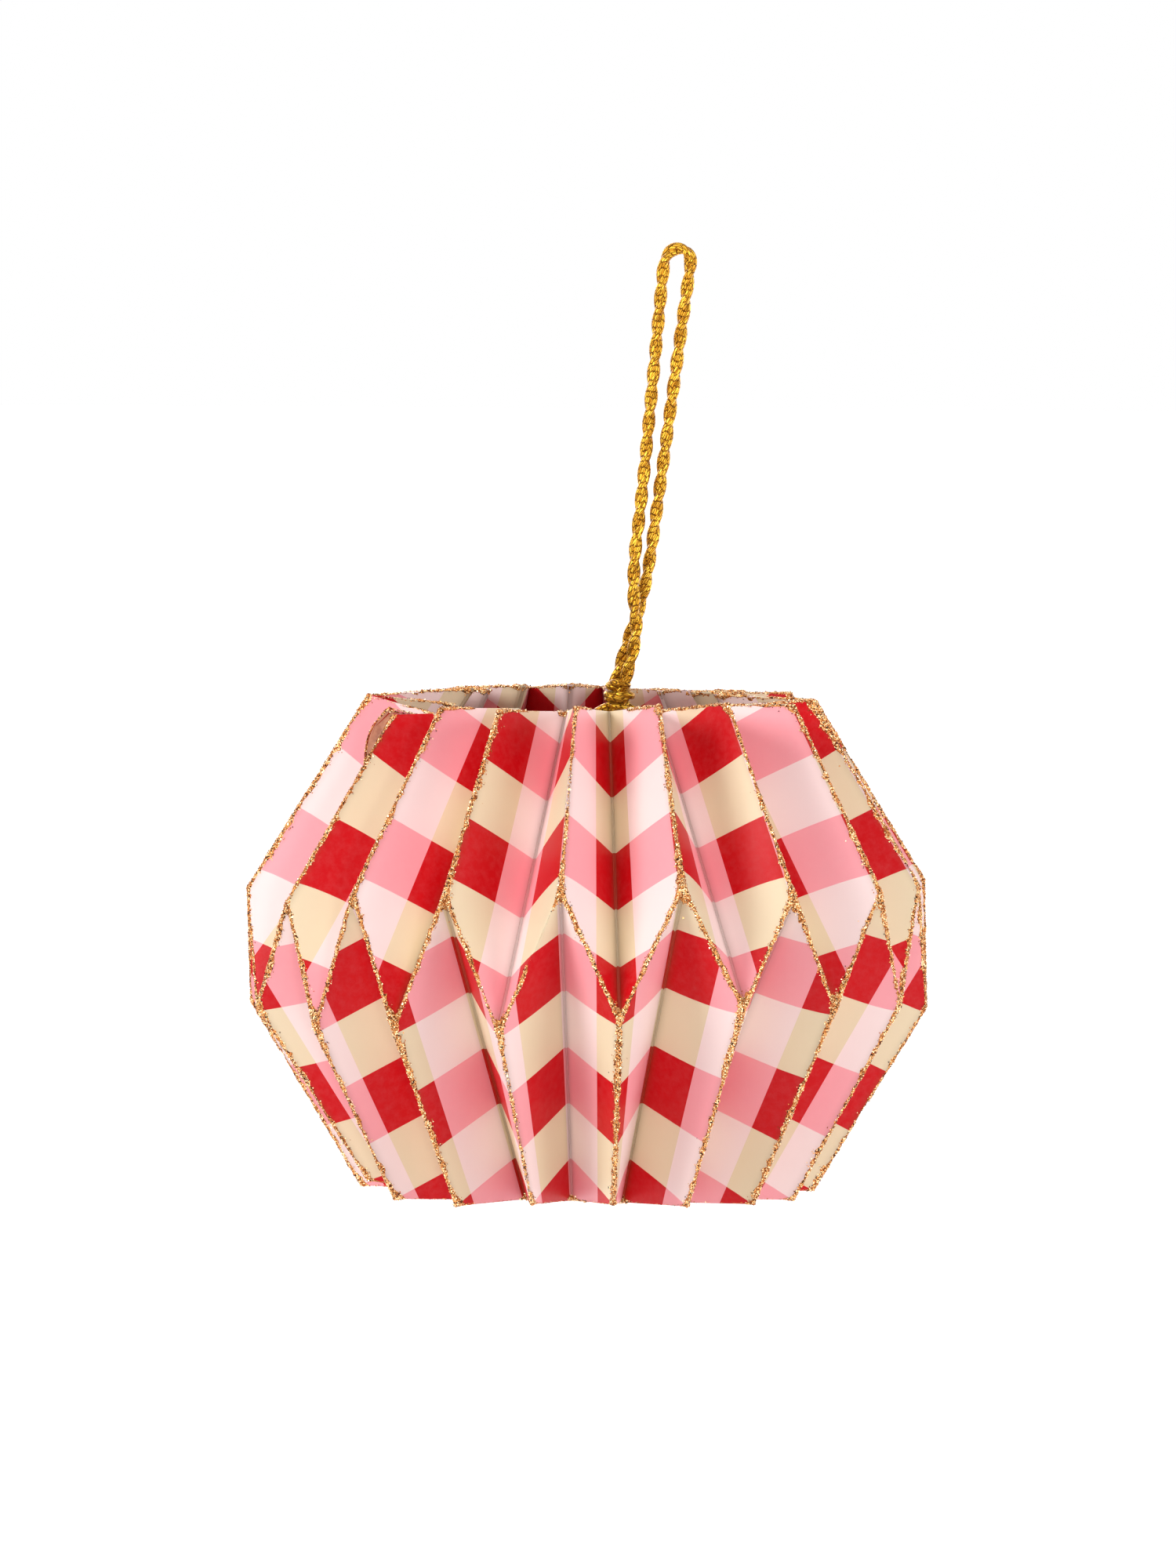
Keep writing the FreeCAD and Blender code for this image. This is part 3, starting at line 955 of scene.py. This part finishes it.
    def flakes(self, rng: np.random.Generator, name: str, points: Array,
               normals: Array) -> Piece:
        """One mesh of small flakes, each tilted its own way and closed underneath.

        Blender has no primitive for so many loose flakes, so the mesh is filled from arrays.
        """
        count = len(points)
        facing = unit(normals * 2.0 + rng.normal(0, 1, (count, 3)))
        side = unit(np.cross(facing, rng.normal(0, 1, (count, 3))))
        other = np.cross(facing, side)
        size = self.flake_size * rng.uniform(0.55, 1.25, count)[:, None]
        corners = [points + (side * math.cos(turn) + other * math.sin(turn))
                   * (size * self.flake_reach) for turn in (0.0, 2.1, 4.2)]
        corners.append(points - facing * (size * self.flake_depth))
        vertices = np.stack(corners, axis=1).reshape(-1, 3)
        faces = np.array(((1, 0, 3), (2, 1, 3), (0, 2, 3), (0, 1, 2)))
        every = (np.arange(count)[:, None, None] * 4 + faces[None]).reshape(-1, 3)
        mesh = bpy.data.meshes.new(name)
        mesh.from_pydata(vertices.tolist(), [], every.tolist())
        # Random draw per flake that picks its colour from painted shade up to a painted glint.
        glint_level = mesh.attributes.new("glint_level", "FLOAT", "POINT")
        glint_level.data.foreach_set("value", np.repeat(rng.random(count), 4))
        flakes = bpy.data.objects.new(name, mesh)
        bpy.context.collection.objects.link(flakes)
        return flakes


@dataclass
class CordLine:
    """One stretch of the two-ply cord, along a smooth line through its route."""

    name: str
    route: list
    ply_radius: float = 0.66 * MM
    ply_offset: float = 0.38 * MM
    lay_length: float = 7.4 * MM
    step: float = 0.28 * MM
    round_faces: int = 14
    start_turn: float = 0.0

    diameter = 1.9 * MM
    knot_centre = Vector((4.3, 0.0, 36.4)) * MM

    @classmethod
    def tail_bend(cls, side: float) -> Vector:
        """Control point under the knot where a tail turns outwards."""
        return cls.knot_centre + Vector((side * 1.5, 0, -5.2)) * MM

    def path(self) -> list[Vector]:
        """Points along a NURBS spline with the route as its control points."""
        curve = bpy.data.curves.new(f"{self.name}_line", "CURVE")
        curve.dimensions = "3D"
        spline = curve.splines.new("NURBS")
        spline.points.add(len(self.route) - 1)
        for point, place in zip(spline.points, self.route):
            point.co = (*(c * MM for c in place), 1.0)
        spline.order_u = 3
        spline.use_endpoint_u = True
        spline.resolution_u = 24
        holder = bpy.data.objects.new(f"{self.name}_line", curve)
        bpy.context.collection.objects.link(holder)
        mesh = bpy.data.meshes.new_from_object(holder)
        points = [vertex.co.copy() for vertex in mesh.vertices]
        bpy.data.objects.remove(holder, do_unlink=True)
        bpy.data.meshes.remove(mesh)
        return points

    def even_points(self) -> Array:
        """Points at even steps along the line."""
        return even_steps(np.array([tuple(p) for p in self.path()]), self.step)

    def build(self) -> Piece:
        """The two plies twisted round each other along the line."""
        return two_ply(self.name, self.even_points(), self.ply_radius, self.ply_offset,
                       self.lay_length, self.round_faces, self.start_turn)


def lengths_along(points: Array) -> Array:
    """Length of a line of points up to each of them."""
    return np.r_[0, np.cumsum(np.linalg.norm(np.diff(points, axis=0), axis=1))]


def even_steps(points: Array, step: float) -> Array:
    """Points at even steps along a line of points."""
    lengths = lengths_along(points)
    at = np.linspace(0, lengths[-1], max(2, int(lengths[-1] / step) + 1))
    return np.stack([np.interp(at, lengths, points[:, axis]) for axis in range(3)], axis=1)


def carried_frames(points: Array) -> tuple[Array, Array]:
    """Two directions square to a line at each point, carried along it without twist."""
    tangents = unit(np.gradient(points, axis=0))
    first = np.cross(tangents[0], (0.31, 0.95, 0.1))
    sides = []
    for tangent in tangents:
        first = unit(first - tangent * np.dot(first, tangent))
        sides.append(first)
    sides = np.array(sides)
    return sides, np.cross(tangents, sides)


def two_ply(name: str, points: Array, radius: float, offset: float, lay: float,
            faces: int, start_turn: float = 0.0, flare: float = 0.0) -> Piece:
    """A cord of two plies twisted together.

    Args:
        name: the piece's name.
        points: points at even steps along the cord.
        radius: a ply's radius.
        offset: from the cord's line to a ply's line.
        lay: the length of one full twist.
        faces: faces round a ply.
        start_turn: the twist at the first point, in radians.
        flare: how far the plies part at the last point.

    Returns:
        The cord, with both plies closed at their ends.
    """
    side, other = carried_frames(points)
    along = lengths_along(points)
    part = np.clip((along - along[-1] + 2 * MM) / (2 * MM), 0, 1) * flare
    plies = []
    for ply in range(2):
        twist = start_turn + along / lay * 2 * math.pi + ply * math.pi
        arm = side * np.cos(twist)[:, None] + other * np.sin(twist)[:, None]
        lean = -side * np.sin(twist)[:, None] + other * np.cos(twist)[:, None]
        centre = points + arm * (offset + part)[:, None]
        turn = np.linspace(0, 2 * math.pi, faces + 1)[None, :, None]
        out = arm[:, None] * np.cos(turn) * 0.92 + lean[:, None] * np.sin(turn)
        ring = centre[:, None] + radius * out
        share = turn[..., 0] / (2 * math.pi) + ply * 0.37
        chart = np.stack(np.broadcast_arrays(share, along[:, None]), axis=-1)
        ring, chart = pinched(ring), np.concatenate((chart[:1], chart, chart[-1:]))
        strand = start_grid(name, ring.shape[0] - 1, faces)
        shape_grid(strand, ring, chart, "strand")
        plies.append(strand)
    cord = joined(name, plies)
    weld(cord)
    return cord


@dataclass
class WoundKnot:
    """A small knot: turns of the cord round an axis, tucked in at both ends."""

    name: str
    centre: Vector
    axis: Vector
    turns: float
    radius: float
    pitch: float
    start: float = 0.0
    cut_end: float = 0.0
    ply_radius: float = 0.58 * MM
    ply_offset: float = 0.34 * MM
    lay_length: float = 6.4 * MM
    step: float = 0.25 * MM
    round_faces: int = 14

    def line(self) -> Array:
        """Points along the wound cord."""
        turn = self.axis.normalized().to_track_quat("Z", "Y").to_matrix()
        share = np.linspace(0, 1, 260)
        angle = self.start + share * self.turns * 2 * math.pi
        tuck = np.clip(np.minimum(share, 1 - share) / 0.13, 0, 1)
        radius = self.radius * (0.25 + 0.75 * np.sqrt(tuck))
        height = (share - 0.5) * self.turns * self.pitch
        local = np.stack((radius * np.cos(angle), radius * np.sin(angle), height), axis=1)
        if self.cut_end:
            tail = np.linspace(0, 1, 24)[1:, None]
            end = np.array((0.0, 0.0, local[-1, 2] + self.cut_end))
            local = np.concatenate((local, local[-1] * (1 - tail) + end * tail))
        return local @ np.array(turn).T + np.array(self.centre)

    def core(self) -> Piece:
        """Barrel that fills the middle of the turns."""
        bpy.ops.object.select_all(action="DESELECT")
        depth = max(self.turns * self.pitch * 0.8, 1.2 * MM)
        bpy.ops.mesh.primitive_cylinder_add(vertices=24, radius=self.radius * 0.95, depth=depth)
        core = bpy.context.object
        core.data.uv_layers[0].name = "strand"
        change("BEVEL", "round ends", width=0.3 * MM, segments=3)
        turn = self.axis.normalized().to_track_quat("Z", "Y").to_matrix().to_4x4()
        core.data.transform(Matrix.Translation(self.centre) @ turn)
        return core

    def build(self) -> Piece:
        """The knot with its core."""
        flare = 0.35 * MM if self.cut_end else 0.0
        turns = two_ply(self.name, even_steps(self.line(), self.step), self.ply_radius,
                        self.ply_offset, self.lay_length, self.round_faces, flare=flare)
        return joined(self.name, [turns, self.core()])


@dataclass
class GoldCord:
    """The cord: its loop, the knot at the rim, two tails and their stopper knots."""

    sheet: PleatedSheet
    loop_route: tuple = (
        (4.7, -0.8, 37.0), (7.2, -1.0, 44.8), (6.3, -1.15, 50.5), (6.5, -0.5, 57.4),
        (7.4, -0.33, 64.3), (9.35, -0.1, 86.0), (10.3, 0.0, 97.0), (10.75, 0.0, 101.3),
        (12.75, 0.0, 102.4), (14.75, 0.0, 101.3), (14.1, 0.0, 97.0), (12.65, 0.14, 86.0),
        (9.8, 0.41, 64.2), (8.9, 0.5, 57.2), (7.7, 1.1, 50.4), (5.6, 1.0, 44.7),
        (3.4, 0.8, 37.0))
    loop_length: float = 134.0 * MM
    knot_half_height: float = 2.4 * MM
    end_length: float = 3.0 * MM

    def tail(self, name: str, side: float, centre: Vector, end_centre: Vector) -> CordLine:
        """The line of one tail, from the knot under it and out through its hole."""
        start = CordLine.knot_centre / MM - Vector((side * 0.3, 0, 0))
        bend = CordLine.tail_bend(side) / MM
        return CordLine(name, [tuple(start), tuple(bend), tuple(end_centre / MM)])

    def build(self, finish: bpy.types.Material) -> list[Piece]:
        """Make and dress every piece of the cord, attach it to the root and hide the imported parts
        that it replaces.
        """
        loop_line = CordLine("gold_cord_loop", list(self.loop_route), start_turn=0.9)
        loop = loop_line.build()
        knot = WoundKnot("gold_cord_knot", CordLine.knot_centre, Vector((0.24, -0.1, 1.0)),
                         turns=2.3, radius=1.5 * MM, pitch=1.75 * MM, start=2.6).build()
        pieces = [loop, knot]
        nodes = [("hanging_loop",), ("cord_knot",)]
        for (word, side), hole in zip((("right", 1.0), ("left", -1.0)), self.sheet.hole_axes()):
            pieces += self.tail_pieces(word, side, *hole)
            nodes += [(f"cord_tail_{word}",), (f"end_knot_{word}",)]
        top = CordLine.knot_centre + Vector((0, 0, self.knot_half_height))
        loop_line.path()
        for piece, names in zip(pieces, nodes):
            dress(piece, finish)
            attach(piece, "root")
            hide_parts(*names)
            LOG.info("%s: %d faces", piece.name, len(piece.data.polygons))
        return pieces

    def tail_pieces(self, word: str, side: float, centre: Vector, way_out: Vector) -> list:
        """One tail and the stopper knot on its end."""
        low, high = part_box(f"end_knot_{word}")
        end_centre = self.end_knot_centre(centre, way_out, Vector(low), Vector(high))
        line = self.tail(f"gold_cord_tail_{word}", side, centre, end_centre)
        end_knot = WoundKnot(f"gold_end_knot_{word}", end_centre, way_out, turns=1.5,
                             radius=0.8 * MM, pitch=1.5 * MM, start=1.0,
                             cut_end=self.end_length).build()
        return [line.build(), end_knot]

    def end_knot_centre(self, centre: Vector, way_out: Vector, low: Vector, high: Vector) -> Vector:
        """Middle of a stopper knot, without the cut end that the box also holds."""
        middle = (low + high) / 2
        return centre + way_out * ((middle - centre).dot(way_out) - self.end_length / 2)


@dataclass(frozen=True)
class Studio:
    """Camera, soft lights, white world and pale floor."""

    camera_place: tuple = (-0.51 * MM, -1500.0 * MM, 92.0 * MM)
    look_down: float = 2.62
    roll: float = 0.29
    focal_length: float = 234.25
    floor_height: float = -0.19
    floor_size: float = 60.0
    floor_grey: Colour = (0.86, 0.86, 0.86)
    sensor_height: float = 36.0
    ambient: float = 0.25

    # Soft square lights: the name, the place in metres, the width and the power.
    lights: tuple = (
        ("key_light", (-0.95, -0.65, 0.5), 0.5, 8.5),
        ("fill_light", (1.0, -0.6, 0.2), 0.6, 4.3),
        ("top_light", (0.1, -0.5, 1.0), 0.6, 3.6),
        ("low_light", (0.15, -1.2, -0.12), 0.12, 1.5),
        ("back_light", (-0.5, 1.1, 0.5), 0.7, 8.0),
        ("back_fill_light", (0.9, 0.8, 0.1), 0.7, 4.0))

    def set_camera(self) -> None:
        """Place a long lens in front, a little above the ball and looking slightly down."""
        pitch, roll = math.radians(self.look_down), math.radians(self.roll)
        right = Vector((math.cos(roll), 0, math.sin(roll)))
        up_level = Vector((-math.sin(roll), 0, math.cos(roll)))
        ahead = Vector((0, math.cos(pitch), 0)) - up_level * math.sin(pitch)
        up = up_level * math.cos(pitch) + Vector((0, math.sin(pitch), 0))
        data = bpy.data.cameras.new("photo_camera")
        data.lens = self.focal_length
        data.sensor_fit = "VERTICAL"
        data.sensor_height = self.sensor_height
        camera = bpy.data.objects.new("photo_camera", data)
        turn = Matrix((right, up, -ahead)).transposed().to_4x4()
        camera.matrix_world = Matrix.Translation(self.camera_place) @ turn
        bpy.context.collection.objects.link(camera)
        bpy.context.scene.camera = camera

    def add_light(self, name: str, place: Vector, size: float, power: float) -> None:
        """One square soft light that faces the ball."""
        data = bpy.data.lights.new(name, "AREA")
        data.size = size
        data.energy = power
        light = bpy.data.objects.new(name, data)
        light.matrix_world = Matrix.Translation(place) @ (
            (-place).to_track_quat("-Z", "Y").to_matrix().to_4x4())
        bpy.context.collection.objects.link(light)

    def set_world(self) -> None:
        """White to the eye and in reflections, a plain level for the rest of the light."""
        world = bpy.data.worlds.new("studio")
        bpy.context.scene.world = world
        tree = ShaderTree(world)
        level = tree.seen_directly() * (1.0 - self.ambient) + self.ambient
        light = tree.node("Background", {}, {
            "Color": (1.0, 1.0, 1.0, 1.0), "Strength": level})
        tree.node("OutputWorld", {}, {"Surface": light.outputs[0]})

    def add_floor(self) -> None:
        """Pale floor well below the hanging ball."""
        bpy.ops.object.select_all(action="DESELECT")
        bpy.ops.mesh.primitive_plane_add(size=self.floor_size, location=(0, 0, self.floor_height))
        floor = bpy.context.object
        floor.name = "studio_floor"
        tree = ShaderTree(bpy.data.materials.new("pale_floor"))
        matt = tree.node("BsdfDiffuse", {}, {"Color": (*self.floor_grey, 1.0)})
        glow = tree.node("Emission", {}, {"Strength": tree.seen_directly()})
        both = tree.node("AddShader", {}, {0: matt.outputs[0], 1: glow.outputs[0]})
        tree.node("OutputMaterial", {}, {"Surface": both.outputs[0]})
        floor.data.materials.append(tree.owner)

    def build(self) -> None:
        """Set the whole studio."""
        self.set_camera()
        self.set_world()
        self.add_floor()
        for name, place, size, power in self.lights:
            self.add_light(name, Vector(place), size, power)


def main() -> None:
    """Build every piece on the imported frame."""
    logging.basicConfig(level=logging.INFO, format="%(name)s: %(message)s")
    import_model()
    bpy.context.scene.view_settings.view_transform = "Standard"

    Studio().build()
    sheet = PleatedSheet()
    GoldCord(sheet).build(GoldFoilCord().material())

    ball = sheet.build()
    dress(ball, GinghamCard().material(), CardEdge().material())
    glue = sheet.seam_glue()
    dress(glue, DriedGlue().material())
    beads, *flakes = GlitterLines(sheet).build()
    glitter = GoldGlitter()
    dress(beads, glitter.bead(), smooth=30.0)
    flake_finish = glitter.flake()
    for piece in flakes:
        dress(piece, flake_finish, smooth=None)
    for piece, nodes, slot in (
            (ball, ("folded_paper_shell",), "gingham_card"),
            (glue, (), "gingham_card"),
            (beads, ("glitter_edging",), "gold_glitter"),
            *((piece, (), "gold_glitter") for piece in flakes)):
        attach(piece, "root")
        if nodes:
            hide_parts(*nodes)
        LOG.info("%s: %d faces", piece.name, len(piece.data.polygons))


if __name__ == "__main__":
    main()
